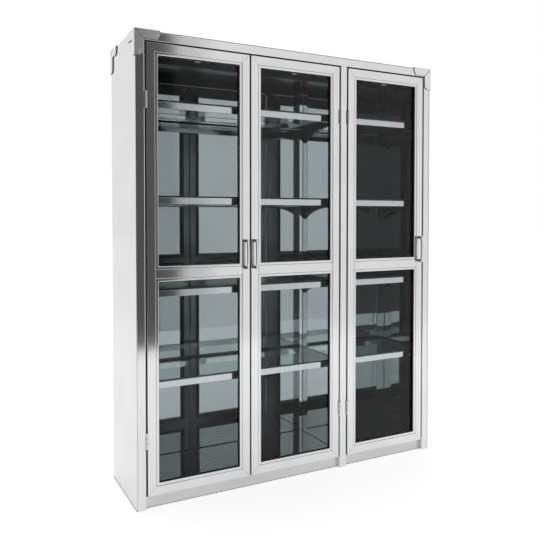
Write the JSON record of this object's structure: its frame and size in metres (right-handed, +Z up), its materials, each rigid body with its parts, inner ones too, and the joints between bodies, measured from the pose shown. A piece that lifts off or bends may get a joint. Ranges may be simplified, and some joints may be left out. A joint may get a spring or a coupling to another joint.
{
  "type": "glass door medical cabinet",
  "caption": "Tall free-standing polished steel cabinet with hinged glazed doors, bow handles, glass shelves on cantilever frames and riveted corner guards.",
  "frame": {"origin": "on the floor, in the middle of the whole object's box, handles included", "axes": "+Z up, the doors face -Y, +X to the right when facing the doors"},
  "size_m": [1.4194, 0.3966, 1.8047],
  "materials": {
    "polished_steel": "mirror polished stainless steel",
    "satin_steel": "satin stainless steel",
    "pale_steel": "bright zinc-plated steel",
    "door_glass": "clear glass with a slight grey-green tint",
    "shelf_glass": "clear glass with a slight green tint and dark green edges"
  },
  "bodies": {
    "carcass": {"front_left_post": "polished_steel", "front_centre_post": "polished_steel", "front_right_post": "polished_steel", "back_left_post": "polished_steel", "back_centre_post": "polished_steel", "back_right_post": "polished_steel", "front_header": "polished_steel", "back_header": "polished_steel", "top_panel": "polished_steel", "back_panel": "polished_steel", "left_side_panel": "polished_steel", "right_side_panel": "polished_steel", "left_base_panel": "polished_steel", "right_base_panel": "polished_steel", "left_plinth": "polished_steel", "right_plinth": "polished_steel", "front_left_corner_guard": "satin_steel", "front_right_corner_guard": "satin_steel", "back_left_corner_guard": "satin_steel", "back_right_corner_guard": "satin_steel", "shelf_frame_1": "polished_steel", "shelf_frame_2": "polished_steel", "shelf_frame_3": "polished_steel", "shelf_frame_4": "polished_steel", "left_shelf_glass_1": "shelf_glass", "left_shelf_glass_2": "shelf_glass", "left_shelf_glass_3": "shelf_glass", "left_shelf_glass_4": "shelf_glass", "right_shelf_glass_1": "shelf_glass", "right_shelf_glass_2": "shelf_glass", "right_shelf_glass_3": "shelf_glass", "right_shelf_glass_4": "shelf_glass", "left_door_catch": "pale_steel", "middle_door_catch": "pale_steel", "right_door_catch": "pale_steel", "left_door_upper_hinge_post_leaf": "satin_steel", "left_door_lower_hinge_post_leaf": "satin_steel", "middle_door_upper_hinge_post_leaf": "satin_steel", "middle_door_lower_hinge_post_leaf": "satin_steel", "right_door_upper_hinge_post_leaf": "satin_steel", "right_door_lower_hinge_post_leaf": "satin_steel"},
    "left_door": {"left_door_frame": "polished_steel", "left_door_upper_glass": "door_glass", "left_door_lower_glass": "door_glass", "left_door_handle": "satin_steel", "left_door_upper_hinge_door_leaf": "satin_steel", "left_door_lower_hinge_door_leaf": "satin_steel"},
    "middle_door": {"middle_door_frame": "polished_steel", "middle_door_upper_glass": "door_glass", "middle_door_lower_glass": "door_glass", "middle_door_handle": "satin_steel", "middle_door_upper_hinge_door_leaf": "satin_steel", "middle_door_lower_hinge_door_leaf": "satin_steel"},
    "right_door": {"right_door_frame": "polished_steel", "right_door_upper_glass": "door_glass", "right_door_lower_glass": "door_glass", "right_door_handle": "satin_steel", "right_door_upper_hinge_door_leaf": "satin_steel", "right_door_lower_hinge_door_leaf": "satin_steel"}
  },
  "joints": [
    {"name": "left_door_hinge", "type": "hinge", "parent": "carcass", "child": "left_door", "pos_m": [-0.6665, -0.17635, 0.9], "axis": [0, 0, -1], "range_deg": [0, 110]},
    {"name": "middle_door_hinge", "type": "hinge", "parent": "carcass", "child": "middle_door", "pos_m": [0.1995, -0.17635, 0.9], "axis": [0, 0, 1], "range_deg": [0, 85]},
    {"name": "right_door_hinge", "type": "hinge", "parent": "carcass", "child": "right_door", "pos_m": [0.2395, -0.17635, 0.9], "axis": [0, 0, -1], "range_deg": [0, 85]}
  ]
}
